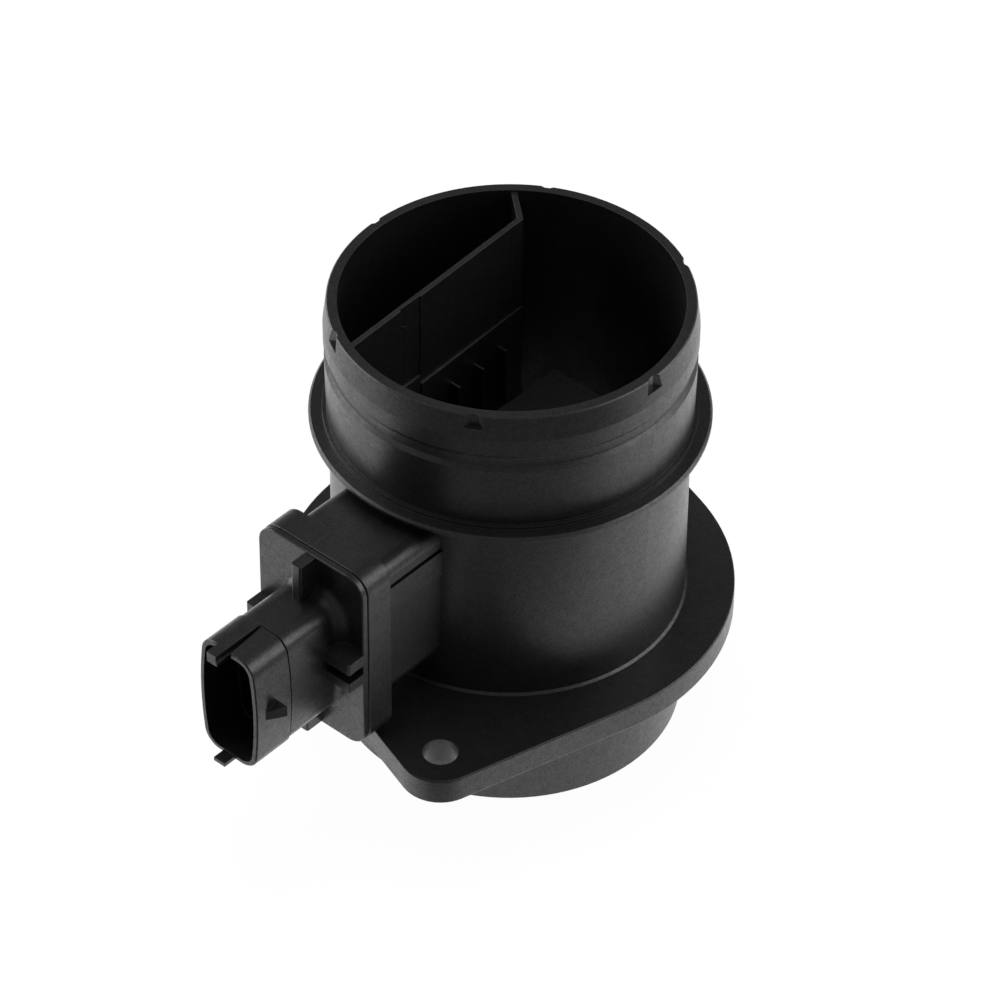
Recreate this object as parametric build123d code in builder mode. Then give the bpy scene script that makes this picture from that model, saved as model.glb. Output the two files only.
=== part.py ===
"""Mass airflow sensor: a moulded duct with a plug-in sensor module.

Millimetres. +Z runs up the duct, the origin is the centre of the lower spigot's end face,
and the module's connector points along -Y.
"""

from build123d import *
from math import cos, radians, sin, sqrt
import os

os.makedirs("parts", exist_ok=True)

# Duct tube and its lower spigot
tube_r = 37.5
wall_t = 2.0
duct_height = 105.5
spigot_inset = 0.1
spigot_chamfer = 0.1

# Mounting flange with two screw ears
flange_z = 24.1
flange_t = 6.2
flange_reach = 10.6
flange_edge = 0.4
flange_foot = 0.5
ear_count = 2
ear_angle = 27.2
ear_reach = 8.25
ear_r = 8.7
ear_hole_r = 3.7

# Stop ring above the flange, then the hose collar, its heights counted down from the rim
ring_above_flange = 45.4
ring_t = 1.5
ring_reach = 4.25
ring_edge = 0.45
step_proud = 1.4
step_h = 0.7
collar_proud = 0.55
ledge_drop = 13.8
ledge_proud = 0.8
groove_floor_h = 2.1
groove_bevel_h = 0.9
band_drop = 9.3
band_proud = 0.95
lead_in_drop = 5.6
rim_proud = 0.25
rim_edge = 0.25

# Notches in the rim
notch_count = 6
notch_w = 3.5
notch_floor_w = 1.1
notch_depth = 3.2
notch_reach = 0.7

# Boss that carries the module, and the frame at its end
boss_above_flange = 25.5
boss_w = 24.6
boss_h = 35.0
boss_wall = 2.0
boss_corner = 3.2
boss_bury = 5.5
boss_reach = 14.9
frame_drop = 2.15
frame_w = 28.8
frame_h = 45.3
frame_depth = 6.5
frame_corner = 4.6
frame_edge = 0.15
parting_x = -1.2
parting_w = 0.25
parting_proud = 0.08

# Rail and groove along both flanks of the boss
strip_rise = 5.5
strip_h = 6.2
strip_proud = 0.35
flank_groove_h = 0.65
flank_groove_depth = 0.6

# Partition inside the duct, its heights counted down from its top edge
partition_t = 1.2
partition_top_drop = 0.6
partition_front_x = -14.25
partition_bend_x = -16.4
partition_bend_y = 21.2
partition_leg_angle = 139.5
partition_foot_drop = 4.7
channel_y = -14.6
channel_w = 6.2
channel_depth = 0.35
channel_h = 20.9
pad_w = 3.6
pad_h = 11.5
pad_drop = 4.2
pad_proud = 0.18
shelf_drop = 22.9
shelf_proud = 0.4
fin_count = 3
fin_first_y = -2.1
fin_pitch = 7.65
fin_reach = 2.8
fin_t = 0.6
fin_drop = 28.6
fin_h = 14.3

# Module plate in front of the frame
sealant_t = 0.3
sealant_inset = 0.9
plate_t = 1.3
plate_inset = 0.1
plate_edge = 0.2
step_in_depth = 1.5
step_in_margin = 2.3
step_in_gap = 0.15
pocket_depth = 0.9
pocket_lip = 0.5
rib_t = 2.7
rib_reach = 4.2
rib_corner = 0.5
top_rib_drop = 0.5
foot_rib_x = 0.9
foot_rib_rise = 0.25
shelf_upper_t = 2.75
shelf_upper_rise = 2.35
shelf_lower_t = 2.35
shelf_lower_drop = 2.35

# Connector shroud and its neck
shroud_drop = 3.7
shroud_w = 15.8
shroud_h = 29.5
shroud_end_w = 13.4
shroud_corner = 4.2
shroud_wall = 1.05
shroud_length = 9.8
mouth_edge = 0.25
key_step = 0.45
neck_length = 14.5
neck_inset = 0.6
neck_side_inset = 0.2
neck_fillet = 3.0
seam_groove_w = 0.45
seam_groove_depth = 0.35
socket_depth = 18.3
slot_mouth_w = 1.3
slot_end_w = 0.3
slot_x = -0.2
slot_depth = 1.6
tongue_w = 2.4
tongue_t = 1.6
tongue_ledge = 0.35
tongue_ledge_t = 0.9
tongue_reach = 3.0
tab_x = -0.3
tab_w = 3.0
tab_t = 0.9
tab_reach = 3.0
latch_rise = 0.65
latch_h = 2.7
latch_inset = 5.8
latch_length = 3.4
latch_proud = 2.8
latch_top_fall = 1.6
latch_foot_fall = 0.7

# Stem in the boss, and the blade in the duct
stem_gap = 0.4
stem_recess = 0.5
blade_w = 14.2
blade_h = 26.2
blade_tip_y = 22.7
blade_edge = 0.5
tip_step_inset = 1.6
tip_step_depth = 0.25
tip_step_w = 9.0
seal_setback = 10.0
seal_d = 2.4
seal_corner = 2.4
seal_groove_side_gap = 0.2
seal_gap = 0.02
seal_round = 1.1

# Covers on the blade's +X flank
cover_t = 1.4
cover_gap = 0.15
cover_edge = 0.15
cover_rim = 1.6
cover_setback = 2.4
cover_split_y = -4.4
cover_split_t = 1.2
bead_t = 0.25
bead_w = 1.2

# Electronics bay
bay_margin = 2.8
bay_end_wall = 1.8
carrier_t = 1.0
board_t = 0.9
bay_gap = 0.2

# Terminals
terminal_count = 5
terminal_pitch = 4.0
terminal_t = 0.64
terminal_w = 1.5
terminal_setback = 7.3
terminal_tip_bevel = 0.25
terminal_land = 2.2
terminal_straight = 8.5
terminal_jog = 7.0
land_shelf = 2.6

# Bypass channel in the blade
duct_w = 7.0
duct_crest_rise = 7.2
duct_inlet_setback = 5.1
duct_outlet_setback = 4.2
outlet_drop = 8.5
duct_floor_x = -3.4
duct_corner = 2.6
outlet_window_h = 6.0

# Sensor carrier and chip
sensor_drop = 5.5
carrier_tongue_h = 6.0
carrier_tongue_gap = 0.1
sensor_land = 3.8
sensor_overhang = 2.6
sensor_tip_round = 0.3
chip_t = 0.4
chip_w = 2.4
chip_h = 2.4

# Board parts
board_margin = 0.7
board_end_gap = 0.4
control_chip_rise = 1.7
control_chip_size = 6.5
control_chip_t = 1.1
control_chip_bevel = 0.3
capacitor_count = 4
capacitor_l = 3.2
capacitor_w = 1.6
capacitor_t = 1.2
capacitor_pitch = 4.6
capacitor_setback = 3.8
capacitor_edge = 0.16
wire_r = 0.15

# Air temperature sensor under the blade
thermistor_setback = 1.0
lead_pitch = 2.0
lead_r = 0.25
lead_rise = 3.5
bead_drop = 3.5
thermistor_w = 1.8
thermistor_l = 3.6
thermistor_h = 2.6
thermistor_corner = 0.6
thermistor_round = 0.45

# Radii that follow from the tube
bore_r = tube_r - wall_t
wall_mid_r = tube_r - wall_t / 2
spigot_r = tube_r - spigot_inset
flange_r = tube_r + flange_reach
ear_circle_r = flange_r + ear_reach
ring_r = tube_r + ring_reach
step_r = tube_r + step_proud
collar_r = tube_r + collar_proud
ledge_r = tube_r + ledge_proud
band_r = tube_r + band_proud
rim_r = tube_r + rim_proud

# Heights that follow from the flange and the rim
flange_top = flange_z + flange_t
ring_z = flange_top + ring_above_flange
ring_top = ring_z + ring_t
ledge_z = duct_height - ledge_drop
band_z = duct_height - band_drop
lead_in_z = duct_height - lead_in_drop
boss_z = flange_top + boss_above_flange
frame_z = boss_z - frame_drop
strip_z = boss_z + strip_rise
shroud_z = boss_z - shroud_drop
shroud_top = shroud_z + shroud_h / 2
shroud_foot = shroud_z - shroud_h / 2
shelf_upper_z = shroud_z + shelf_upper_rise
shelf_lower_z = shroud_z - shelf_lower_drop
latch_z = shroud_z + latch_rise
blade_foot = boss_z - blade_h / 2
blade_top = boss_z + blade_h / 2
partition_top = duct_height - partition_top_drop
partition_foot = blade_foot - partition_foot_drop
fin_top = partition_top - fin_drop

# Distances forward of the duct's axis
boss_root_y = bore_r - boss_bury
stem_end_y = bore_r + stem_recess
seal_y = stem_end_y + seal_setback
frame_back_y = tube_r + boss_reach
frame_front_y = frame_back_y + frame_depth
plate_back_y = frame_front_y + sealant_t
plate_front_y = plate_back_y + plate_t
pocket_floor_y = plate_front_y - pocket_depth
rib_front_y = plate_front_y + rib_reach
seam_y = plate_front_y + neck_length
mouth_y = seam_y + shroud_length
socket_floor_y = mouth_y - socket_depth
latch_y = mouth_y - latch_inset

# Openings and seats between the pieces
boss_flank_x = boss_w / 2
socket_w = boss_w - 2 * boss_wall
socket_h = boss_h - 2 * boss_wall
socket_corner = boss_corner - boss_wall / 2
plate_w = frame_w - 2 * plate_inset
plate_h = frame_h - 2 * plate_inset
plate_corner = frame_corner - plate_inset
pocket_w = plate_w - 2 * pocket_lip
pocket_h = plate_h - 2 * pocket_lip
pocket_corner = plate_corner - pocket_lip
step_in_w = frame_w - 2 * step_in_margin
step_in_h = frame_h - 2 * step_in_margin
step_in_corner = frame_corner - step_in_margin
stem_w = socket_w - 2 * stem_gap
stem_h = socket_h - 2 * stem_gap
stem_corner = socket_corner - stem_gap
seal_outer_w = socket_w - 2 * seal_gap
seal_outer_h = socket_h - 2 * seal_gap
seal_inner_w = seal_outer_w - 2 * seal_d
seal_inner_h = seal_outer_h - 2 * seal_d
seal_inner_corner = seal_corner - seal_d / 2

# Places along the blade, as Y
cover_seat_x = blade_w / 2 - cover_t - bead_t
cover_z0 = blade_foot + cover_rim
cover_z1 = blade_top - cover_rim
cover_front_y = cover_setback - stem_end_y
bypass_front_y = cover_split_y + cover_split_t
bypass_back_y = blade_tip_y - cover_rim
bay_front_y = cover_front_y + bead_w
bay_back_y = cover_split_y - bay_end_wall
bay_z0 = blade_foot + bay_margin
bay_z1 = blade_top - bay_margin
duct_inlet_y = bypass_back_y - duct_inlet_setback
duct_outlet_y = bypass_front_y + duct_outlet_setback
duct_crest_z = boss_z + duct_crest_rise
duct_outlet_foot = duct_crest_z - duct_w - outlet_drop
sensor_z = duct_crest_z - sensor_drop
sensor_back_y = bay_back_y - sensor_land
sensor_tip_y = duct_outlet_y + sensor_overhang
board_top_x = terminal_t / 2
board_foot_x = board_top_x - board_t
bay_floor_x = board_foot_x - carrier_t
board_z0 = bay_z0 + board_margin
board_z1 = bay_z1 - board_margin
carrier_front_y = bay_front_y + land_shelf + bay_gap
carrier_back_y = bay_back_y - bay_gap
board_front_y = carrier_front_y + bay_gap
board_back_y = sensor_back_y - board_end_gap
capacitor_y = board_front_y + capacitor_setback
control_chip_y = (capacitor_y + capacitor_w / 2 + board_back_y) / 2
control_chip_z = boss_z + control_chip_rise
thermistor_y = control_chip_y - thermistor_setback
bead_top_z = blade_foot - bead_drop
lead_top_z = bay_z0 + lead_rise
terminal_tip_y = terminal_setback - mouth_y
terminal_jog_y = terminal_straight - socket_floor_y
terminal_steps = [terminal_pitch * (i - (terminal_count - 1) / 2) for i in range(terminal_count)]

# The partition runs from the wall to its bend, and from there back to the wall
partition_front_y = -sqrt(wall_mid_r**2 - partition_front_x**2)
partition_slope = (partition_bend_x - partition_front_x) / (partition_bend_y - partition_front_y)
leg_x = cos(radians(partition_leg_angle))
leg_y = sin(radians(partition_leg_angle))
bend_along_leg = partition_bend_x * leg_x + partition_bend_y * leg_y
bend_r = sqrt(partition_bend_x**2 + partition_bend_y**2)
partition_leg = sqrt(bend_along_leg**2 - bend_r**2 + wall_mid_r**2) - bend_along_leg
partition_end = (partition_bend_x + partition_leg * leg_x, partition_bend_y + partition_leg * leg_y)


def partition_x(y):
    """Middle of the partition at a place along the duct's Y."""
    return partition_front_x + partition_slope * (y - partition_front_y)


def barrel(inset, side_inset, top_drop=0, mode=Mode.ADD):
    """Outline of the connector: flat top and foot, bowed sides, round corners."""
    half_end = shroud_end_w / 2 - side_inset
    half_mid = shroud_w / 2 - side_inset
    low = shroud_foot + inset
    high = shroud_top - inset - top_drop
    with BuildLine() as loop:
        Line((-half_end, low), (half_end, low))
        ThreePointArc((half_end, low), (half_mid, shroud_z), (half_end, high))
        Line((half_end, high), (-half_end, high))
        ThreePointArc((-half_end, high), (-half_mid, shroud_z), (-half_end, low))
    with BuildSketch(mode=Mode.PRIVATE) as outline:
        make_face(loop.edges())
        fillet(outline.vertices(), radius=shroud_corner - inset)
    add(outline.sketch, mode=mode)


def stepped_barrel(inset):
    """The connector's outline at its mouth, a step lower on the slot's side of the tongue."""
    for side, top_drop in ((-1, 0), (1, key_step)):
        with BuildSketch(mode=Mode.PRIVATE) as half:
            barrel(inset, inset, top_drop)
            with Locations((slot_x + side * shroud_w / 2, shroud_z)):
                Rectangle(shroud_w, shroud_h, mode=Mode.INTERSECT)
        add(half.sketch)


def rib(x0, x1, low, high):
    """A rib on the plate, its two front edges rounded."""
    with BuildSketch(Plane.XY.offset(low)) as plan:
        with Locations(((x0 + x1) / 2, -(rib_front_y + pocket_floor_y) / 2)):
            outline = Rectangle(x1 - x0, rib_front_y - pocket_floor_y)
        fillet(outline.vertices().sort_by(Axis.Y)[:2], radius=rib_corner)
    extrude(plan.sketch, amount=high - low)


def terminal_strip(step, mode=Mode.ADD):
    """One flat terminal, from the socket through the neck and over a jog to the bay."""
    with BuildLine() as run:
        Polyline(
            (terminal_tip_y, shroud_z + step),
            (terminal_jog_y, shroud_z + step),
            (terminal_jog_y + terminal_jog, boss_z + step),
            (bay_front_y + terminal_land, boss_z + step),
        )
    with BuildSketch(Plane.YZ.offset(-terminal_t / 2)) as strip:
        trace(run.edges(), line_width=terminal_w)
    extrude(strip.sketch, amount=terminal_t, mode=mode)


def block(x0, x1, y0, y1, z0, z1, mode=Mode.ADD):
    """A box between two corners, inside the part being built."""
    with Locations(((x0 + x1) / 2, (y0 + y1) / 2, (z0 + z1) / 2)):
        Box(x1 - x0, y1 - y0, z1 - z0, mode=mode)


# Duct housing: tube, flange, ring, collar, boss, frame and partition in one moulding
with BuildPart() as duct_housing:
    with BuildSketch(Plane.XY.offset(flange_z)):
        Circle(flange_r)
        with PolarLocations(ear_circle_r, ear_count, start_angle=ear_angle - 90):
            Circle(ear_r)
        make_hull()
    extrude(amount=flange_t)
    fillet(duct_housing.faces().filter_by(Axis.Z).edges(), radius=flange_edge)

    with BuildSketch(Plane.XZ):
        with BuildLine():
            Polyline(
                (0, 0),
                (spigot_r - spigot_chamfer, 0),
                (spigot_r, spigot_chamfer),
                (spigot_r, flange_z + flange_t / 2),
                (tube_r + flange_foot, flange_z + flange_t / 2),
                (tube_r + flange_foot, flange_top),
                (tube_r, flange_top + flange_foot),
                (tube_r, ring_z),
                (ring_r - ring_edge, ring_z),
                (ring_r, ring_z + ring_edge),
                (ring_r, ring_top - ring_edge),
                (ring_r - ring_edge, ring_top),
                (step_r, ring_top),
                (step_r, ring_top + step_h),
                (collar_r, ring_top + step_h),
                (ledge_r, ledge_z),
                (tube_r, ledge_z + groove_bevel_h),
                (tube_r, ledge_z + groove_bevel_h + groove_floor_h),
                (band_r, band_z),
                (band_r, lead_in_z),
                (rim_r, duct_height - rim_edge),
                (rim_r - rim_edge, duct_height),
                (0, duct_height),
                close=True,
            )
        make_face()
    revolve(axis=Axis.Z)

    with BuildSketch(Plane.XZ.offset(boss_root_y)):
        with Locations((0, boss_z)):
            RectangleRounded(boss_w, boss_h, boss_corner)
    extrude(amount=frame_back_y - boss_root_y)
    for side in (-1, 1):
        block(
            side * boss_flank_x - strip_proud, side * boss_flank_x + strip_proud,
            -frame_back_y, -boss_root_y, strip_z, strip_z + strip_h,
        )
        block(
            side * boss_flank_x - flank_groove_depth, side * boss_flank_x + flank_groove_depth,
            -frame_back_y, -boss_root_y, strip_z + strip_h, strip_z + strip_h + flank_groove_h,
            mode=Mode.SUBTRACT,
        )
    with BuildSketch(Plane.XZ.offset(frame_back_y)):
        with Locations((0, frame_z)):
            RectangleRounded(frame_w, frame_h, frame_corner)
    extrude(amount=frame_front_y - frame_back_y)
    chamfer(duct_housing.faces().sort_by(Axis.Y)[0].edges(), length=frame_edge)
    block(
        parting_x - parting_w / 2, parting_x + parting_w / 2, -frame_front_y + frame_edge, -frame_back_y,
        frame_z + frame_h / 2 - parting_proud, frame_z + frame_h / 2 + parting_proud,
    )

    with BuildSketch(Plane.XY):
        Circle(bore_r)
    extrude(amount=duct_height, mode=Mode.SUBTRACT)
    with BuildSketch(Plane.XZ.offset(boss_root_y)):
        with Locations((0, boss_z)):
            RectangleRounded(socket_w, socket_h, socket_corner)
    extrude(amount=frame_front_y - boss_root_y, mode=Mode.SUBTRACT)
    with BuildSketch(Plane.XZ.offset(frame_front_y)):
        with Locations((0, frame_z)):
            RectangleRounded(step_in_w, step_in_h, step_in_corner)
    extrude(amount=-step_in_depth - step_in_gap, mode=Mode.SUBTRACT)

    with BuildSketch(Plane.XY.offset(flange_z)):
        with PolarLocations(ear_circle_r, ear_count, start_angle=ear_angle - 90):
            Circle(ear_hole_r)
    extrude(amount=flange_t, mode=Mode.SUBTRACT)
    with BuildSketch(mode=Mode.PRIVATE) as notch:
        notch_out = band_r - rim_r
        notch_slant = (notch_w - notch_floor_w) / 2 / notch_reach
        mouth_half = notch_w / 2 + notch_slant * notch_out
        with BuildLine():
            Polyline(
                (notch_out, mouth_half),
                (-notch_reach, notch_floor_w / 2),
                (-notch_reach, -notch_floor_w / 2),
                (notch_out, -mouth_half),
                close=True,
            )
        make_face()
    with BuildSketch(Plane.XY.offset(duct_height - notch_depth)):
        with PolarLocations(rim_r, notch_count):
            add(notch.sketch)
    extrude(amount=notch_depth, mode=Mode.SUBTRACT)

    with BuildSketch(Plane.XY.offset(partition_foot)):
        with BuildLine():
            Polyline(
                (partition_front_x, partition_front_y),
                (partition_bend_x, partition_bend_y),
                partition_end,
            )
        trace(line_width=partition_t)
    extrude(amount=partition_top - partition_foot)
    channel_back_y = channel_y + channel_w / 2
    channel_front_y = channel_y - channel_w / 2
    channel_face_x = partition_x(channel_y) + partition_t / 2
    block(
        channel_face_x - channel_depth, channel_face_x + channel_depth,
        channel_front_y, channel_back_y, partition_top - channel_h, partition_top, mode=Mode.SUBTRACT,
    )
    pad_top = partition_top - pad_drop
    with BuildSketch(Plane.YZ.offset(channel_face_x - channel_depth)):
        with BuildLine():
            Line((channel_front_y, pad_top), (channel_front_y, pad_top - pad_h))
            ThreePointArc(
                (channel_front_y, pad_top - pad_h),
                (channel_front_y + pad_w, pad_top - pad_h / 2),
                (channel_front_y, pad_top),
            )
        make_face()
    extrude(amount=pad_proud)
    with BuildSketch(Plane.XY.offset(partition_foot)):
        shelf_face = partition_t / 2 + shelf_proud
        with BuildLine():
            Polyline(
                (partition_x(channel_back_y), channel_back_y),
                (partition_x(channel_back_y) + shelf_face, channel_back_y),
                (partition_bend_x + shelf_face, partition_bend_y),
                (partition_bend_x, partition_bend_y),
                close=True,
            )
        make_face()
    extrude(amount=partition_top - shelf_drop - partition_foot)
    for i in range(fin_count):
        fin_y = fin_first_y + i * fin_pitch
        block(
            partition_x(fin_y), partition_x(fin_y) + partition_t / 2 + fin_reach,
            fin_y - fin_t / 2, fin_y + fin_t / 2, fin_top - fin_h, fin_top,
        )

duct_housing.part.label = "duct_housing"
export_step(duct_housing.part, "parts/duct_housing.step")


# Neck of the connector, rising in a fillet from the floor of the plate's pockets
with BuildPart() as neck:
    with BuildSketch(Plane.XZ.offset(plate_back_y)):
        with Locations((0, frame_z)):
            RectangleRounded(pocket_w, pocket_h, pocket_corner)
    extrude(amount=plate_t - pocket_depth)
    with BuildSketch(Plane.XZ.offset(pocket_floor_y)):
        barrel(neck_inset, neck_side_inset)
    extrude(amount=seam_y - pocket_floor_y)
    fillet(neck.faces().filter_by(Axis.Y).sort_by(Axis.Y)[1].inner_wires()[0].edges(), radius=neck_fillet)


# Latch ramps on both flanks of the shroud, narrowing towards the mouth
with BuildPart() as latches:
    latch_root = shroud_w / 2 - shroud_wall / 2
    latch_tip = shroud_w / 2 + latch_proud
    ramp_length = latch_length * (latch_tip - latch_root) / latch_proud
    latch_top = latch_z + latch_h / 2
    latch_foot = latch_z - latch_h / 2
    with BuildSketch(Plane.YZ.offset(-latch_tip)):
        with BuildLine():
            Polyline(
                (-latch_y, latch_foot),
                (-latch_y, latch_top),
                (-latch_y - ramp_length, latch_top - latch_top_fall),
                (-latch_y - ramp_length, latch_foot - latch_foot_fall),
                close=True,
            )
        make_face()
    extrude(amount=2 * latch_tip)
    with BuildSketch(Plane.XY.offset(shroud_foot)):
        for side in (-1, 1):
            with BuildLine():
                Polyline(
                    (side * latch_root, -latch_y),
                    (side * latch_tip, -latch_y),
                    (side * latch_root, -latch_y - ramp_length),
                    close=True,
                )
            make_face()
    extrude(amount=shroud_h, mode=Mode.INTERSECT)


# Module housing: plate, connector, stem and blade in one moulding
with BuildPart() as module_housing:
    with BuildSketch(Plane.XZ.offset(plate_back_y)):
        with Locations((0, frame_z)):
            RectangleRounded(plate_w, plate_h, plate_corner)
    extrude(amount=plate_t)
    chamfer(module_housing.faces().sort_by(Axis.Y)[0].edges(), length=plate_edge)
    with BuildSketch(Plane.XZ.offset(plate_back_y)):
        with Locations((0, frame_z)):
            RectangleRounded(
                step_in_w - 2 * step_in_gap, step_in_h - 2 * step_in_gap, step_in_corner - step_in_gap
            )
    extrude(amount=-step_in_depth - sealant_t)

    # Shallow pockets in two opposite quarters of the plate
    for side in (-1, 1):
        with BuildSketch(Plane.XZ.offset(plate_front_y)):
            with Locations((0, frame_z)):
                RectangleRounded(pocket_w, pocket_h, pocket_corner)
            reach = plate_h
            low = shelf_upper_z + shelf_upper_t if side > 0 else shelf_lower_z - reach
            with Locations((side * reach / 2, low + reach / 2)):
                Rectangle(reach, reach, mode=Mode.INTERSECT)
        extrude(amount=-pocket_depth, mode=Mode.SUBTRACT)

    # Stiffening ribs around the connector's neck
    rib_foot = frame_z - plate_h / 2 + foot_rib_rise
    rib_top = frame_z + plate_h / 2 - top_rib_drop
    rib(-rib_t / 2, rib_t / 2, shroud_top - shroud_corner, rib_top)
    rib(foot_rib_x - rib_t / 2, foot_rib_x + rib_t / 2, rib_foot, shroud_foot + shroud_corner)
    rib(-plate_w / 2, plate_w / 2, shelf_upper_z, shelf_upper_z + shelf_upper_t)
    rib(-plate_w / 2, plate_w / 2, shelf_lower_z, shelf_lower_z + shelf_lower_t)

    # Neck, shroud and socket
    add(neck.part)
    with BuildSketch(Plane.XZ.offset(seam_y - seam_groove_w)):
        with Locations((0, shroud_z)):
            Rectangle(plate_w, plate_h)
        barrel(neck_inset + seam_groove_depth, neck_side_inset + seam_groove_depth, mode=Mode.SUBTRACT)
    extrude(amount=seam_groove_w, mode=Mode.SUBTRACT)
    with BuildSketch(Plane.XZ.offset(seam_y)):
        stepped_barrel(0)
    extrude(amount=mouth_y - seam_y)
    chamfer(module_housing.faces().sort_by(Axis.Y)[0].edges(), length=mouth_edge)
    with BuildSketch(Plane.XZ.offset(socket_floor_y)):
        barrel(neck_inset + shroud_wall, neck_side_inset + shroud_wall)
    extrude(amount=seam_y - socket_floor_y, mode=Mode.SUBTRACT)
    with BuildSketch(Plane.XZ.offset(seam_y)):
        stepped_barrel(shroud_wall)
    extrude(amount=mouth_y - seam_y, mode=Mode.SUBTRACT)

    # Key slot, tongue and tab at the mouth, and the latch ramps
    with BuildSketch(Plane.XY.offset(shroud_top - slot_depth)):
        with BuildLine():
            Polyline(
                (slot_x, -mouth_y),
                (slot_x + slot_mouth_w, -mouth_y),
                (slot_x + slot_end_w, -seam_y),
                (slot_x, -seam_y),
                close=True,
            )
        make_face()
    extrude(amount=slot_depth, mode=Mode.SUBTRACT)
    tongue_tip_y = -mouth_y - tongue_reach
    tongue_foot = shroud_top - tongue_t
    block(slot_x - tongue_w, slot_x, tongue_tip_y, -seam_y, tongue_foot, shroud_top)
    block(
        slot_x - tongue_w, slot_x + tongue_ledge, tongue_tip_y, -seam_y,
        tongue_foot - tongue_ledge_t, tongue_foot,
    )
    block(
        tab_x - tab_w / 2, tab_x + tab_w / 2, -mouth_y - tab_reach, -mouth_y + shroud_wall,
        shroud_foot, shroud_foot + tab_t,
    )
    add(latches.part)

    # Stem with its seal groove, and the blade
    with BuildSketch(Plane.XZ.offset(stem_end_y)):
        with Locations((0, boss_z)):
            RectangleRounded(stem_w, stem_h, stem_corner)
    extrude(amount=plate_back_y - stem_end_y)
    with BuildSketch(Plane.XZ.offset(seal_y - seal_d / 2 - seal_groove_side_gap)):
        with Locations((0, boss_z)):
            Rectangle(socket_w, socket_h)
            RectangleRounded(
                seal_inner_w - 2 * seal_gap, seal_inner_h - 2 * seal_gap, seal_inner_corner - seal_gap,
                mode=Mode.SUBTRACT,
            )
    extrude(amount=seal_d + 2 * seal_groove_side_gap, mode=Mode.SUBTRACT)
    with BuildSketch(Plane.XZ.offset(-blade_tip_y)):
        with Locations((0, boss_z)):
            Rectangle(blade_w, blade_h)
    extrude(amount=blade_tip_y + stem_end_y)
    chamfer(module_housing.faces().sort_by(Axis.Y)[-1].edges(), length=blade_edge)

    block(
        -tip_step_w / 2, tip_step_w / 2, -boss_root_y, blade_tip_y - tip_step_inset,
        blade_top - tip_step_depth, blade_top, mode=Mode.SUBTRACT,
    )

    # Seats for the two covers
    block(cover_seat_x, blade_w / 2, cover_front_y, cover_split_y, cover_z0, cover_z1, mode=Mode.SUBTRACT)
    block(cover_seat_x, blade_w / 2, bypass_front_y, bypass_back_y, cover_z0, cover_z1, mode=Mode.SUBTRACT)

    # Electronics bay, with a land for the terminals
    block(bay_floor_x, cover_seat_x, bay_front_y + land_shelf, bay_back_y, bay_z0, bay_z1, mode=Mode.SUBTRACT)
    block(
        -terminal_t / 2, cover_seat_x, bay_front_y, bay_front_y + land_shelf, bay_z0, bay_z1,
        mode=Mode.SUBTRACT,
    )

    # Bypass channel: inlet in the foot of the blade, crest, and outlet through the -X flank
    with BuildSketch(Plane.YZ.offset(duct_floor_x)):
        with BuildLine():
            Polyline(
                (duct_inlet_y - duct_w / 2, blade_foot),
                (duct_inlet_y + duct_w / 2, blade_foot),
                (duct_inlet_y + duct_w / 2, duct_crest_z),
                (duct_outlet_y - duct_w / 2, duct_crest_z),
                (duct_outlet_y - duct_w / 2, duct_outlet_foot),
                (duct_outlet_y + duct_w / 2, duct_outlet_foot),
                (duct_outlet_y + duct_w / 2, duct_crest_z - duct_w),
                (duct_inlet_y - duct_w / 2, duct_crest_z - duct_w),
                close=True,
            )
        bypass_outline = make_face()
        fillet(bypass_outline.vertices().sort_by(Axis.Z)[2:], radius=duct_corner)
    extrude(amount=cover_seat_x - duct_floor_x, mode=Mode.SUBTRACT)
    block(
        -blade_w / 2, duct_floor_x, duct_outlet_y - duct_w / 2 + duct_corner, duct_outlet_y + duct_w / 2,
        duct_outlet_foot + duct_corner, duct_outlet_foot + duct_corner + outlet_window_h, mode=Mode.SUBTRACT,
    )

    # Passages for the terminals, the sensor carrier and the thermistor's leads
    for step in terminal_steps:
        terminal_strip(step, mode=Mode.SUBTRACT)
    block(
        board_foot_x - carrier_tongue_gap, board_top_x + carrier_tongue_gap, bay_back_y, duct_outlet_y,
        sensor_z - carrier_tongue_h / 2 - carrier_tongue_gap,
        sensor_z + carrier_tongue_h / 2 + carrier_tongue_gap, mode=Mode.SUBTRACT,
    )
    for side in (-1, 1):
        lead_y = thermistor_y + side * lead_pitch / 2
        with Locations((board_top_x + lead_r, lead_y, blade_foot + bay_margin / 2)):
            Cylinder(lead_r, bay_margin, mode=Mode.SUBTRACT)

module_housing.part.label = "module_housing"
export_step(module_housing.part, "parts/module_housing.step")


# Black sealant between frame and plate
with BuildPart() as plate_sealant:
    with BuildSketch(Plane.XZ.offset(frame_front_y)):
        with Locations((0, frame_z)):
            RectangleRounded(
                frame_w - 2 * (plate_inset + sealant_inset), frame_h - 2 * (plate_inset + sealant_inset),
                frame_corner - plate_inset - sealant_inset,
            )
            RectangleRounded(step_in_w, step_in_h, step_in_corner, mode=Mode.SUBTRACT)
    extrude(amount=sealant_t)

plate_sealant.part.label = "plate_sealant"
export_step(plate_sealant.part, "parts/plate_sealant.step")


# Rubber ring around the stem
with BuildPart() as module_seal:
    with BuildSketch(Plane.XZ.offset(seal_y - seal_d / 2)):
        with Locations((0, boss_z)):
            RectangleRounded(seal_outer_w, seal_outer_h, seal_corner + seal_d / 2)
            RectangleRounded(seal_inner_w, seal_inner_h, seal_inner_corner, mode=Mode.SUBTRACT)
    extrude(amount=seal_d)
    fillet(module_seal.faces().filter_by(Axis.Y).edges(), radius=seal_round)

module_seal.part.label = "module_seal"
export_step(module_seal.part, "parts/module_seal.step")


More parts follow.
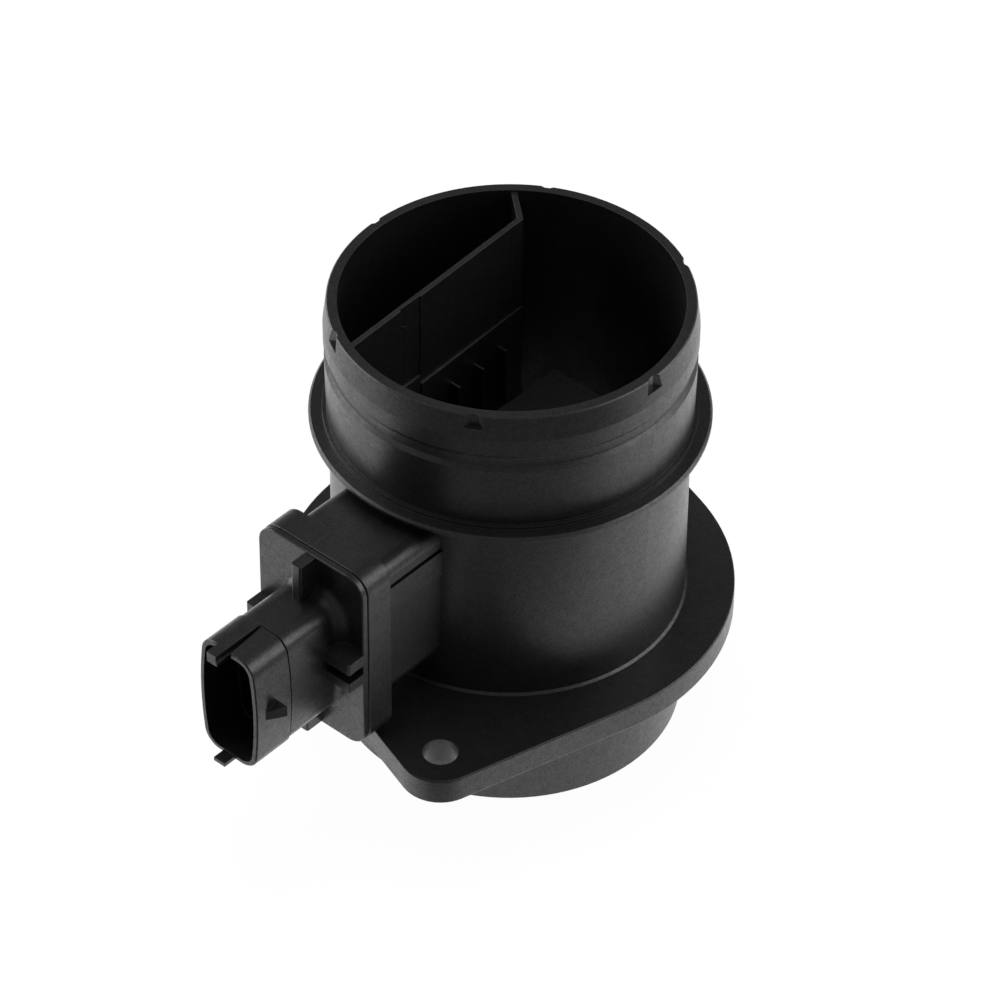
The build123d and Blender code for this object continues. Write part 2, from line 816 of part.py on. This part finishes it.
# Covers over the electronics bay and the bypass channel, each on a bead of adhesive
cover_seats = {
    "electronics": (cover_front_y, cover_split_y),
    "bypass": (bypass_front_y, bypass_back_y),
}
for seat_name, (seat_y0, seat_y1) in cover_seats.items():
    with BuildPart() as cover:
        block(
            cover_seat_x + bead_t, blade_w / 2, seat_y0 + cover_gap, seat_y1 - cover_gap,
            cover_z0 + cover_gap, cover_z1 - cover_gap,
        )
        chamfer(cover.faces().sort_by(Axis.X)[-1].edges(), length=cover_edge)
    with BuildPart() as bead:
        with BuildSketch(Plane.YZ.offset(cover_seat_x)):
            with Locations(((seat_y0 + seat_y1) / 2, boss_z)):
                bead_outer_w = seat_y1 - seat_y0 - 2 * cover_gap
                bead_outer_h = cover_z1 - cover_z0 - 2 * cover_gap
                Rectangle(bead_outer_w, bead_outer_h)
                Rectangle(bead_outer_w - 2 * bead_w, bead_outer_h - 2 * bead_w, mode=Mode.SUBTRACT)
        extrude(amount=bead_t)
    cover.part.label = f"{seat_name}_cover"
    export_step(cover.part, f"parts/{seat_name}_cover.step")
    bead.part.label = f"{seat_name}_cover_bead"
    export_step(bead.part, f"parts/{seat_name}_cover_bead.step")


# Sheet steel carrier under the circuit board
with BuildPart() as carrier_plate:
    block(bay_floor_x, board_foot_x, carrier_front_y, carrier_back_y, bay_z0 + bay_gap, bay_z1 - bay_gap)

carrier_plate.part.label = "carrier_plate"
export_step(carrier_plate.part, "parts/carrier_plate.step")


# Ceramic circuit board
with BuildPart() as circuit_board:
    block(board_foot_x, board_top_x, board_front_y, board_back_y, board_z0, board_z1)

circuit_board.part.label = "circuit_board"
export_step(circuit_board.part, "parts/circuit_board.step")


# Control chip on the board
with BuildPart() as control_chip:
    half = control_chip_size / 2
    block(
        board_top_x, board_top_x + control_chip_t, control_chip_y - half, control_chip_y + half,
        control_chip_z - half, control_chip_z + half,
    )
    chamfer(control_chip.faces().sort_by(Axis.X)[-1].edges(), length=control_chip_bevel)

control_chip.part.label = "control_chip"
export_step(control_chip.part, "parts/control_chip.step")


# Ceramic capacitors in a row beside the terminals
for i in range(capacitor_count):
    capacitor_z = boss_z + capacitor_pitch * (i - (capacitor_count - 1) / 2)
    with BuildPart() as capacitor:
        block(
            board_top_x, board_top_x + capacitor_t,
            capacitor_y - capacitor_w / 2, capacitor_y + capacitor_w / 2,
            capacitor_z - capacitor_l / 2, capacitor_z + capacitor_l / 2,
        )
        fillet(capacitor.edges().filter_by(Axis.Z), radius=capacitor_edge)
    capacitor.part.label = f"capacitor_{i + 1}"
    export_step(capacitor.part, f"parts/capacitor_{i + 1}.step")


# Carrier of the sensing chip, reaching from the bay into the bypass channel
with BuildPart() as sensor_carrier:
    block(
        board_foot_x, board_top_x, sensor_back_y, sensor_tip_y,
        sensor_z - carrier_tongue_h / 2, sensor_z + carrier_tongue_h / 2,
    )
    fillet(sensor_carrier.faces().sort_by(Axis.Y)[-1].edges().filter_by(Axis.Z), radius=sensor_tip_round)

sensor_carrier.part.label = "sensor_carrier"
export_step(sensor_carrier.part, "parts/sensor_carrier.step")


# Hot-film sensing chip
with BuildPart() as sensing_chip:
    block(
        board_top_x, board_top_x + chip_t, duct_outlet_y - chip_w / 2, duct_outlet_y + chip_w / 2,
        sensor_z - chip_h / 2, sensor_z + chip_h / 2,
    )

sensing_chip.part.label = "sensing_chip"
export_step(sensing_chip.part, "parts/sensing_chip.step")


# Terminals, from the socket to the land in the bay
for i, step in enumerate(terminal_steps):
    with BuildPart() as terminal:
        terminal_strip(step)
        chamfer(terminal.faces().sort_by(Axis.Y)[0].edges(), length=terminal_tip_bevel)
    terminal.part.label = f"terminal_{i + 1}"
    export_step(terminal.part, f"parts/terminal_{i + 1}.step")


# Aluminium bond wires: terminals to board, and board to sensor carrier
with BuildPart() as bond_wires:
    terminal_land_y = bay_front_y + terminal_land - terminal_w / 2
    board_land_y = board_front_y + terminal_w / 2
    carrier_land_y = sensor_back_y + terminal_w / 2
    far_land_y = board_back_y - terminal_w / 2
    spans = [(terminal_land_y, board_land_y, boss_z + step) for step in terminal_steps]
    spans += [(far_land_y, carrier_land_y, sensor_z + terminal_w * k) for k in (-1, 0, 1)]
    for near_y, far_y, z in spans:
        loop_r = (far_y - near_y) / 2
        with BuildLine() as loop:
            ThreePointArc(
                (board_top_x, near_y, z),
                (board_top_x + loop_r, (near_y + far_y) / 2, z),
                (board_top_x, far_y, z),
            )
        with BuildSketch(Plane(origin=(board_top_x, near_y, z), z_dir=(1, 0, 0))):
            Circle(wire_r)
        sweep(path=loop.line)

bond_wires.part.label = "bond_wires"
export_step(bond_wires.part, "parts/bond_wires.step")


# Air temperature sensor: bead and two leads
with BuildPart() as thermistor_bead:
    bead_x = board_top_x + lead_r
    block(
        bead_x - thermistor_w / 2, bead_x + thermistor_w / 2,
        thermistor_y - thermistor_l / 2, thermistor_y + thermistor_l / 2,
        bead_top_z - thermistor_h, bead_top_z,
    )
    fillet(thermistor_bead.edges().filter_by(Axis.Z), radius=thermistor_corner)
    fillet(thermistor_bead.faces().sort_by(Axis.Z)[0].edges(), radius=thermistor_round)

thermistor_bead.part.label = "thermistor_bead"
export_step(thermistor_bead.part, "parts/thermistor_bead.step")

for i, side in enumerate((-1, 1)):
    with BuildPart() as thermistor_lead:
        with BuildSketch(Plane.XY.offset(bead_top_z)):
            with Locations((board_top_x + lead_r, thermistor_y + side * lead_pitch / 2)):
                Circle(lead_r)
        extrude(amount=lead_top_z - bead_top_z)
    thermistor_lead.part.label = f"thermistor_lead_{i + 1}"
    export_step(thermistor_lead.part, f"parts/thermistor_lead_{i + 1}.step")
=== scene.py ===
import bpy
from math import cos, radians, sin
from mathutils import Matrix, Vector


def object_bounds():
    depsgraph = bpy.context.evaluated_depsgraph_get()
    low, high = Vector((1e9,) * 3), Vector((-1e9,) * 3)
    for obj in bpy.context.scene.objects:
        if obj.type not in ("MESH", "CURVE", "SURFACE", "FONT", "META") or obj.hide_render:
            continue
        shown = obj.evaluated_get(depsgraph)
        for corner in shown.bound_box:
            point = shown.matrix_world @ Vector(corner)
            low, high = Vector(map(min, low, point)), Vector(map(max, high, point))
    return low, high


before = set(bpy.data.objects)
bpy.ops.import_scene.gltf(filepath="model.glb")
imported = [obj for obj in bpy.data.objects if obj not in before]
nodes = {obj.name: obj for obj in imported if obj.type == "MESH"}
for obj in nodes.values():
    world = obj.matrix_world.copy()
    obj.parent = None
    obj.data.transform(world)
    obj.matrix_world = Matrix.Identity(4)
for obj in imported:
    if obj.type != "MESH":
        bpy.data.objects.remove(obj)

cad_low, cad_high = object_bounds()

# Camera, as the photograph was taken: metres and degrees, in the part's own frame
VIEW_AZIMUTH = 41.0
VIEW_PITCH = 41.35
VIEW_YAW = -0.22
VIEW_ROLL = 0.55
CAMERA_REACH = 0.7866
CAMERA_HEIGHT = 0.7445
SENSOR_WIDTH = 36.0
PICTURE_WIDTH = 990
FOCAL_PIXELS = 5000.0
CLIP_NEAR = 0.01
CLIP_FAR = 20.0

# Floor: white paper that runs far back and ends a short way in front of the object
FLOOR_HALF = 3.0
FLOOR_FRONT = 0.084
FLOOR_COLOUR = 1.0
FLOOR_ROUGHNESS = 0.9
BACKDROP_LIGHT = 1.0
SHADOW_SHARE = 0.03
FOOT_RADIUS = 0.0372

# Studio walls, as light levels: dim all round, a little brighter on the camera's side, brightest overhead.
# The two fades run over parts of a unit direction: backward, away from the camera, and upward.
BACK_LIGHT = 0.14
FRONT_LIGHT = 0.20
OVERHEAD_LIGHT = 0.36
BACKWARD_FADE = (-0.45, 0.35)
UPWARD_FADE = (0.76, 0.97)

# Lamps: name, azimuth from the connector, height, distance, width and depth in metres, watts, shows in gloss
LAMPS = (
    ("top softbox", 215.0, 1.35, 0.10, 0.90, 0.90, 15.0, False),
    ("left softbox", -75.0, 0.45, 0.80, 0.90, 0.60, 5.0, True),
    ("right softbox", 131.0, 0.50, 0.80, 0.90, 0.60, 4.0, True),
)

# Black plastic of the duct and of the module, with the glossy skin that the mould leaves
PLASTIC_BLACK = (0.0032, 0.0032, 0.0033, 1.0)
PLASTIC_FADED = (0.0072, 0.0072, 0.0073, 1.0)
# Pale tone for sharp outer edges: partly edge wear, partly a painted highlight along the edges
PLASTIC_EDGE_WEAR_AND_HIGHLIGHT = (0.040, 0.040, 0.041, 1.0)
SPECK_PALE = (0.12, 0.12, 0.12, 1.0)
PLASTIC_IOR = 1.5
SKIN_WEIGHT = 0.45
SKIN_SPREAD = 0.7
GLOSS_BELOW = 0.05
GLOSS_ABOVE = 0.06
PLASTIC_EDGE = 0.00012
EDGE_SAMPLES = 8
# Pale edges: rounding radius, patchiness and fade of the mask; partly wear, partly a painted edge highlight
EDGE_WEAR_AND_HIGHLIGHT_RADIUS = 0.00035
EDGE_WEAR_AND_HIGHLIGHT_PATCHINESS = 0.55
EDGE_WEAR_AND_HIGHLIGHT_FADE = (0.995, 0.85)

# Specks: cells a metre, share of the cells that have one, and where one fades, in cells from its middle
SPECK_CELLS = 260.0
SPECK_SHARE = 0.012
SPECK_FADE = (0.07, 0.04)

# Fineness of the patterns, in cycles a metre, the waves' depth in metres, and the middle part of a noise
NOISE_MIDDLE = (0.3, 0.7)
WAVE_DEPTH = 0.00002
WAVE_FINENESS = 90.0
# Patches along the pale edges, which are partly wear and partly a painted highlight
EDGE_WEAR_AND_HIGHLIGHT_FINENESS = 160.0
MOTTLE_FINENESS = 70.0
FIBRE_FINENESS = 1800.0
GLOSS_FINENESS = 500.0
SKIN_PATCH_FINENESS = 650.0
SKIN_GRAIN_FINENESS = 2600.0

# Small pieces: grain cycles a metre, grain depth, rounding of edges, and how far the roughness wanders
SMALL_GRAIN_SIZE = 6000.0
SMALL_GRAIN_DEPTH = 0.000004
SMALL_EDGE = 0.0001
SMALL_ROUGHNESS_SWING = 0.06
PATCH_FINENESS = 400.0
SHINE_FINENESS = 1000.0

# Black finishes: material, grain cycles a metre and depth in metres, roughness, strength of the pale edges
# (edge wear and a painted edge highlight), and the pieces
BLACK_FINISHES = (
    ("duct plastic", 3200.0, 0.000012, 0.38, 0.35, ("duct_housing",)),
    ("module plastic", 4200.0, 0.000010, 0.36, 0.30, ("module_housing",)),
    ("cover plastic", 5200.0, 0.000006, 0.30, 0.20, ("electronics_cover", "bypass_cover")),
)

# Other finishes: material, light tone, dark tone, roughness, metallic, and how its pieces' names start
SMALL_FINISHES = (
    ("sealant", (0.008, 0.008, 0.008), (0.004, 0.004, 0.004), 0.35, 0.0, ("plate_sealant",)),
    ("seal rubber", (0.018, 0.018, 0.018), (0.010, 0.010, 0.010), 0.5, 0.0, ("module_seal",)),
    ("adhesive", (0.06, 0.06, 0.062), (0.04, 0.04, 0.042), 0.4, 0.0,
     ("electronics_cover_bead", "bypass_cover_bead")),
    ("carrier steel", (0.56, 0.56, 0.57), (0.46, 0.46, 0.47), 0.36, 1.0, ("carrier_plate",)),
    ("board ceramic", (0.80, 0.78, 0.72), (0.70, 0.68, 0.62), 0.55, 0.0, ("circuit_board",)),
    ("chip epoxy", (0.03, 0.03, 0.032), (0.02, 0.02, 0.021), 0.5, 0.0, ("control_chip",)),
    ("capacitor ceramic", (0.45, 0.32, 0.20), (0.36, 0.25, 0.16), 0.45, 0.0, ("capacitor_",)),
    ("carrier resin", (0.05, 0.046, 0.042), (0.035, 0.032, 0.03), 0.45, 0.0, ("sensor_carrier",)),
    ("silicon", (0.16, 0.17, 0.20), (0.12, 0.13, 0.17), 0.12, 0.0, ("sensing_chip",)),
    ("tin plating", (0.74, 0.73, 0.70), (0.62, 0.61, 0.58), 0.28, 1.0, ("terminal_", "thermistor_lead_")),
    ("bond wire", (0.82, 0.82, 0.83), (0.74, 0.74, 0.75), 0.25, 1.0, ("bond_wires",)),
    ("bead glaze", (0.06, 0.045, 0.04), (0.04, 0.03, 0.028), 0.2, 0.0, ("thermistor_bead",)),
)


def link(tree, source, target):
    tree.links.new(source, target)


def feed(tree, socket, value):
    """Set a socket to a plain value, or link it to another node's output."""
    if isinstance(value, (int, float, tuple)):
        socket.default_value = value
    else:
        link(tree, value, socket)


def new_group(name, inputs, outputs):
    """A shader node group with named float inputs."""
    group = bpy.data.node_groups.new(name, "ShaderNodeTree")
    for label, value in inputs:
        socket = group.interface.new_socket(name=label, in_out="INPUT", socket_type="NodeSocketFloat")
        socket.default_value = value
    for label, kind in outputs:
        group.interface.new_socket(name=label, in_out="OUTPUT", socket_type=kind)
    return group, group.nodes.new("NodeGroupInput"), group.nodes.new("NodeGroupOutput")


def put_group(tree, group, **values):
    node = tree.nodes.new("ShaderNodeGroup")
    node.node_tree = group
    for label, value in values.items():
        node.inputs[label.replace("_", " ")].default_value = value
    return node


def object_place(tree):
    return tree.nodes.new("ShaderNodeTexCoord").outputs["Object"]


def noise(tree, vector, scale, detail=2.0, rough=0.5):
    node = tree.nodes.new("ShaderNodeTexNoise")
    node.inputs["Detail"].default_value = detail
    node.inputs["Roughness"].default_value = rough
    feed(tree, node.inputs["Scale"], scale)
    link(tree, vector, node.inputs["Vector"])
    return node.outputs["Fac"]


def stretch(tree, value, low, high, to_low=0.0, to_high=1.0):
    node = tree.nodes.new("ShaderNodeMapRange")
    node.inputs["From Min"].default_value = low
    node.inputs["From Max"].default_value = high
    node.inputs["To Min"].default_value = to_low
    node.inputs["To Max"].default_value = to_high
    link(tree, value, node.inputs["Value"])
    return node.outputs["Result"]


def combine(tree, operation, first, second):
    node = tree.nodes.new("ShaderNodeMath")
    node.operation = operation
    feed(tree, node.inputs[0], first)
    feed(tree, node.inputs[1], second)
    return node.outputs["Value"]


def mix_colour(tree, factor, first, second):
    node = tree.nodes.new("ShaderNodeMix")
    node.data_type = "RGBA"
    feed(tree, node.inputs[0], factor)
    feed(tree, node.inputs[6], first)
    feed(tree, node.inputs[7], second)
    return node.outputs[2]


def rounded_normal(tree, radius):
    bevel = tree.nodes.new("ShaderNodeBevel")
    bevel.samples = EDGE_SAMPLES
    link(tree, radius, bevel.inputs["Radius"])
    return bevel.outputs["Normal"]


def make_worn_and_highlighted_edge_group():
    """Mask that is 1 on sharp outer edges, from how far a rounded normal turns from the real one: partly
    edge wear, partly a painted edge highlight.
    """
    tree, inlet, outlet = new_group(
        "worn and highlighted edges",
        (("Radius", EDGE_WEAR_AND_HIGHLIGHT_RADIUS), ("Patchiness", EDGE_WEAR_AND_HIGHLIGHT_PATCHINESS)),
        (("Mask", "NodeSocketFloat"),),
    )
    dot = tree.nodes.new("ShaderNodeVectorMath")
    dot.operation = "DOT_PRODUCT"
    link(tree, rounded_normal(tree, inlet.outputs["Radius"]), dot.inputs[0])
    link(tree, tree.nodes.new("ShaderNodeNewGeometry").outputs["Normal"], dot.inputs[1])
    edge = stretch(tree, dot.outputs["Value"], *EDGE_WEAR_AND_HIGHLIGHT_FADE)
    patches = stretch(tree, noise(tree, object_place(tree), EDGE_WEAR_AND_HIGHLIGHT_FINENESS, 4.0, 0.65), 0.42, 0.66)
    worn_and_highlighted = combine(tree, "SUBTRACT", patches, inlet.outputs["Patchiness"])
    worn_and_highlighted = combine(tree, "ADD", worn_and_highlighted, 1.0)
    clamp = tree.nodes.new("ShaderNodeClamp")
    link(tree, combine(tree, "MULTIPLY", edge, worn_and_highlighted), clamp.inputs["Value"])
    link(tree, clamp.outputs["Result"], outlet.inputs["Mask"])
    return tree


def make_grain_group():
    """Fine moulded grain and faint flow waviness, as a normal, with rounded edges."""
    tree, inlet, outlet = new_group(
        "moulded grain",
        (
            ("Grain Size", SMALL_GRAIN_SIZE),
            ("Grain Depth", SMALL_GRAIN_DEPTH),
            ("Wave Depth", WAVE_DEPTH),
            ("Edge Radius", SMALL_EDGE),
        ),
        (("Normal", "NodeSocketVector"),),
    )
    place = object_place(tree)
    grain = noise(tree, place, inlet.outputs["Grain Size"])
    fine = combine(tree, "MULTIPLY", grain, inlet.outputs["Grain Depth"])
    broad = combine(tree, "MULTIPLY", noise(tree, place, WAVE_FINENESS, 3.0), inlet.outputs["Wave Depth"])
    bump = tree.nodes.new("ShaderNodeBump")
    bump.inputs["Distance"].default_value = 1.0
    link(tree, combine(tree, "ADD", fine, broad), bump.inputs["Height"])
    link(tree, rounded_normal(tree, inlet.outputs["Edge Radius"]), bump.inputs["Normal"])
    link(tree, bump.outputs["Normal"], outlet.inputs["Normal"])
    return tree


def make_specks_group():
    """Scattered pale specks: dust and burrs a few tenths of a millimetre across."""
    tree, inlet, outlet = new_group(
        "pale specks",
        (("Cells", SPECK_CELLS), ("Share", SPECK_SHARE)),
        (("Mask", "NodeSocketFloat"),),
    )
    cells = tree.nodes.new("ShaderNodeTexVoronoi")
    link(tree, object_place(tree), cells.inputs["Vector"])
    link(tree, inlet.outputs["Cells"], cells.inputs["Scale"])
    near = stretch(tree, cells.outputs["Distance"], *SPECK_FADE)
    split = tree.nodes.new("ShaderNodeSeparateColor")
    link(tree, cells.outputs["Color"], split.inputs["Color"])
    chosen = combine(tree, "LESS_THAN", split.outputs["Red"], inlet.outputs["Share"])
    link(tree, combine(tree, "MULTIPLY", near, chosen), outlet.inputs["Mask"])
    return tree


WORN_AND_HIGHLIGHTED_EDGES = make_worn_and_highlighted_edge_group()
GRAIN = make_grain_group()
SPECKS = make_specks_group()


def new_material(name):
    material = bpy.data.materials.new(name)
    material.use_nodes = True
    tree = material.node_tree
    return material, tree, tree.nodes["Principled BSDF"]


def plastic_colour(tree, place, edge_wear_and_highlight):
    """Mottled black, paler on specks and at sharp edges, where the pale edge is partly wear and partly a
    painted highlight.
    """
    mottle = stretch(tree, noise(tree, place, MOTTLE_FINENESS, 5.0, 0.6), 0.35, 0.7)
    fibre = stretch(tree, noise(tree, place, FIBRE_FINENESS), 0.3, 0.75)
    shade = combine(tree, "MULTIPLY", combine(tree, "ADD", mottle, fibre), 0.5)
    colour = mix_colour(tree, shade, PLASTIC_BLACK, PLASTIC_FADED)
    # Pale edges painted in: partly wear, partly a painted highlight along every sharp edge
    worn_and_highlighted = combine(tree, "MULTIPLY", put_group(tree, WORN_AND_HIGHLIGHTED_EDGES).outputs["Mask"], edge_wear_and_highlight)
    colour = mix_colour(tree, worn_and_highlighted, colour, PLASTIC_EDGE_WEAR_AND_HIGHLIGHT)
    return mix_colour(tree, put_group(tree, SPECKS).outputs["Mask"], colour, SPECK_PALE)


def skin_weight(tree, place):
    """Share of glossy skin: broad patches and fine grain about one level."""
    fine = stretch(tree, noise(tree, place, SKIN_GRAIN_FINENESS), *NOISE_MIDDLE, -0.5, 0.5)
    skin = combine(tree, "ADD", fine, noise(tree, place, SKIN_PATCH_FINENESS, 3.0))
    low = SKIN_WEIGHT * (1 - SKIN_SPREAD)
    high = SKIN_WEIGHT * (1 + SKIN_SPREAD)
    return stretch(tree, skin, 0.0, 1.0, low, high)


def black_plastic(name, grain_size, grain_depth, roughness, edge_wear_and_highlight):
    """Black glass-filled plastic: mottled, finely grained, paler at its edges from wear and a painted edge
    highlight, with a few specks.
    """
    material, tree, shader = new_material(name)
    place = object_place(tree)
    link(tree, plastic_colour(tree, place, edge_wear_and_highlight), shader.inputs["Base Color"])
    gloss = noise(tree, place, GLOSS_FINENESS, 4.0, 0.6)
    gloss = stretch(tree, gloss, *NOISE_MIDDLE, roughness - GLOSS_BELOW, roughness + GLOSS_ABOVE)
    link(tree, gloss, shader.inputs["Roughness"])
    grain = put_group(tree, GRAIN, Grain_Size=grain_size, Grain_Depth=grain_depth, Edge_Radius=PLASTIC_EDGE)
    link(tree, grain.outputs["Normal"], shader.inputs["Normal"])
    link(tree, skin_weight(tree, place), shader.inputs["Coat Weight"])
    shader.inputs["Coat Roughness"].default_value = roughness
    shader.inputs["IOR"].default_value = PLASTIC_IOR
    return material


def small_finish(name, light, dark, roughness, metallic):
    """A finish for the small pieces: two tones, fine grain and rounded edges."""
    material, tree, shader = new_material(name)
    place = object_place(tree)
    patches = stretch(tree, noise(tree, place, PATCH_FINENESS, 4.0, 0.6), 0.35, 0.65)
    link(tree, mix_colour(tree, patches, dark + (1.0,), light + (1.0,)), shader.inputs["Base Color"])
    low = roughness - SMALL_ROUGHNESS_SWING
    high = roughness + SMALL_ROUGHNESS_SWING
    shine = stretch(tree, noise(tree, place, SHINE_FINENESS), *NOISE_MIDDLE, low, high)
    link(tree, shine, shader.inputs["Roughness"])
    shader.inputs["Metallic"].default_value = metallic
    link(tree, put_group(tree, GRAIN).outputs["Normal"], shader.inputs["Normal"])
    return material


def cover_node(name, material):
    node = nodes[name]
    node.data.materials.clear()
    node.data.materials.append(material)


def finish_nodes():
    for name, grain_size, grain_depth, roughness, edge_wear_and_highlight, pieces in BLACK_FINISHES:
        material = black_plastic(name, grain_size, grain_depth, roughness, edge_wear_and_highlight)
        for piece in pieces:
            cover_node(piece, material)
    for name, light, dark, roughness, metallic, starts in SMALL_FINISHES:
        material = small_finish(name, light, dark, roughness, metallic)
        for piece in nodes:
            if piece.startswith(starts):
                cover_node(piece, material)


def make_camera():
    """The photograph's own view, found from the circles and straight edges in it."""
    turn = Matrix.Rotation(radians(VIEW_AZIMUTH), 3, "Z")
    heading = Matrix.Rotation(radians(-VIEW_YAW), 3, "Z") @ Matrix.Rotation(radians(-VIEW_PITCH), 3, "X")
    right = turn @ heading @ Vector((1, 0, 0))
    forward = turn @ heading @ Vector((0, 1, 0))
    up = right.cross(forward)
    roll = Matrix.Rotation(radians(-VIEW_ROLL), 3, forward)
    right = roll @ right
    up = roll @ up
    data = bpy.data.cameras.new("camera")
    data.sensor_width = SENSOR_WIDTH
    data.lens = FOCAL_PIXELS / PICTURE_WIDTH * SENSOR_WIDTH
    data.clip_start = CLIP_NEAR
    data.clip_end = CLIP_FAR
    camera = bpy.data.objects.new("camera", data)
    placed = Matrix((right, up, -forward)).transposed().to_4x4()
    placed.translation = turn @ Vector((0, -CAMERA_REACH, CAMERA_HEIGHT))
    camera.matrix_world = placed
    bpy.context.scene.collection.objects.link(camera)
    bpy.context.scene.camera = camera


def paper_material():
    """White to the eye and in reflections but for the spot under the tube, with a faint real shadow."""
    material, tree, shader = new_material("white paper")
    shader.inputs["Base Color"].default_value = (FLOOR_COLOUR, FLOOR_COLOUR, FLOOR_COLOUR, 1.0)
    shader.inputs["Roughness"].default_value = FLOOR_ROUGHNESS
    shader.inputs["Specular IOR Level"].default_value = 0.0
    glow = tree.nodes.new("ShaderNodeEmission")
    glow.inputs["Strength"].default_value = BACKDROP_LIGHT
    path = tree.nodes.new("ShaderNodeLightPath")
    seen = combine(tree, "MAXIMUM", path.outputs["Is Camera Ray"], path.outputs["Is Glossy Ray"])
    seen = combine(tree, "MAXIMUM", seen, path.outputs["Is Transmission Ray"])
    reach = tree.nodes.new("ShaderNodeVectorMath")
    reach.operation = "LENGTH"
    link(tree, object_place(tree), reach.inputs[0])
    outside = combine(tree, "GREATER_THAN", reach.outputs["Value"], FOOT_RADIUS)
    share = combine(tree, "MULTIPLY", combine(tree, "MULTIPLY", seen, outside), 1.0 - SHADOW_SHARE)
    mix = tree.nodes.new("ShaderNodeMixShader")
    link(tree, share, mix.inputs[0])
    link(tree, shader.outputs[0], mix.inputs[1])
    link(tree, glow.outputs[0], mix.inputs[2])
    link(tree, mix.outputs[0], tree.nodes["Material Output"].inputs["Surface"])
    return material


def make_floor():
    """One sheet, turned to face the camera, that reaches much farther back than it does to the front."""
    turn = Matrix.Rotation(radians(VIEW_AZIMUTH), 3, "Z")
    outline = (
        (-FLOOR_HALF, -FLOOR_FRONT),
        (FLOOR_HALF, -FLOOR_FRONT),
        (FLOOR_HALF, FLOOR_HALF),
        (-FLOOR_HALF, FLOOR_HALF),
    )
    mesh = bpy.data.meshes.new("floor")
    mesh.from_pydata([turn @ Vector((x, y, 0.0)) for x, y in outline], [], [(0, 1, 2, 3)])
    mesh.materials.append(paper_material())
    floor = bpy.data.objects.new("floor", mesh)
    bpy.context.scene.collection.objects.link(floor)


def make_world():
    """Studio walls: dim behind the object and in front, brighter overhead, white to the eye."""
    world = bpy.data.worlds.new("studio")
    world.use_nodes = True
    tree = world.node_tree
    sky = tree.nodes["Background"]
    sky.inputs["Color"].default_value = (1.0, 1.0, 1.0, 1.0)
    place = tree.nodes.new("ShaderNodeTexCoord").outputs["Generated"]
    back = tree.nodes.new("ShaderNodeVectorMath")
    back.operation = "DOT_PRODUCT"
    around = radians(VIEW_AZIMUTH)
    back.inputs[1].default_value = (-sin(around), cos(around), 0.0)
    link(tree, place, back.inputs[0])
    wall = stretch(tree, back.outputs["Value"], *BACKWARD_FADE, FRONT_LIGHT, BACK_LIGHT)
    split = tree.nodes.new("ShaderNodeSeparateXYZ")
    link(tree, place, split.inputs[0])
    ceiling = stretch(tree, split.outputs["Z"], *UPWARD_FADE)
    level = mix_colour(tree, ceiling, wall, (OVERHEAD_LIGHT, OVERHEAD_LIGHT, OVERHEAD_LIGHT, 1.0))
    path = tree.nodes.new("ShaderNodeLightPath")
    seen = combine(tree, "MAXIMUM", path.outputs["Is Camera Ray"], path.outputs["Is Transmission Ray"])
    link(tree, combine(tree, "MAXIMUM", level, seen), sky.inputs["Strength"])
    bpy.context.scene.world = world


def make_lamps():
    centre = (cad_low + cad_high) / 2
    for name, azimuth, height, distance, width, depth, watts, in_gloss in LAMPS:
        data = bpy.data.lights.new(name, "AREA")
        data.shape = "RECTANGLE"
        data.size = width
        data.size_y = depth
        data.energy = watts
        lamp = bpy.data.objects.new(name, data)
        lamp.visible_glossy = in_gloss
        around = radians(azimuth)
        lamp.location = (distance * sin(around), -distance * cos(around), height)
        lamp.rotation_mode = "QUATERNION"
        lamp.rotation_quaternion = (centre - lamp.location).to_track_quat("-Z", "Y")
        bpy.context.scene.collection.objects.link(lamp)


make_camera()
make_world()
make_floor()
make_lamps()
finish_nodes()

bpy.context.scene.view_settings.view_transform = "Standard"
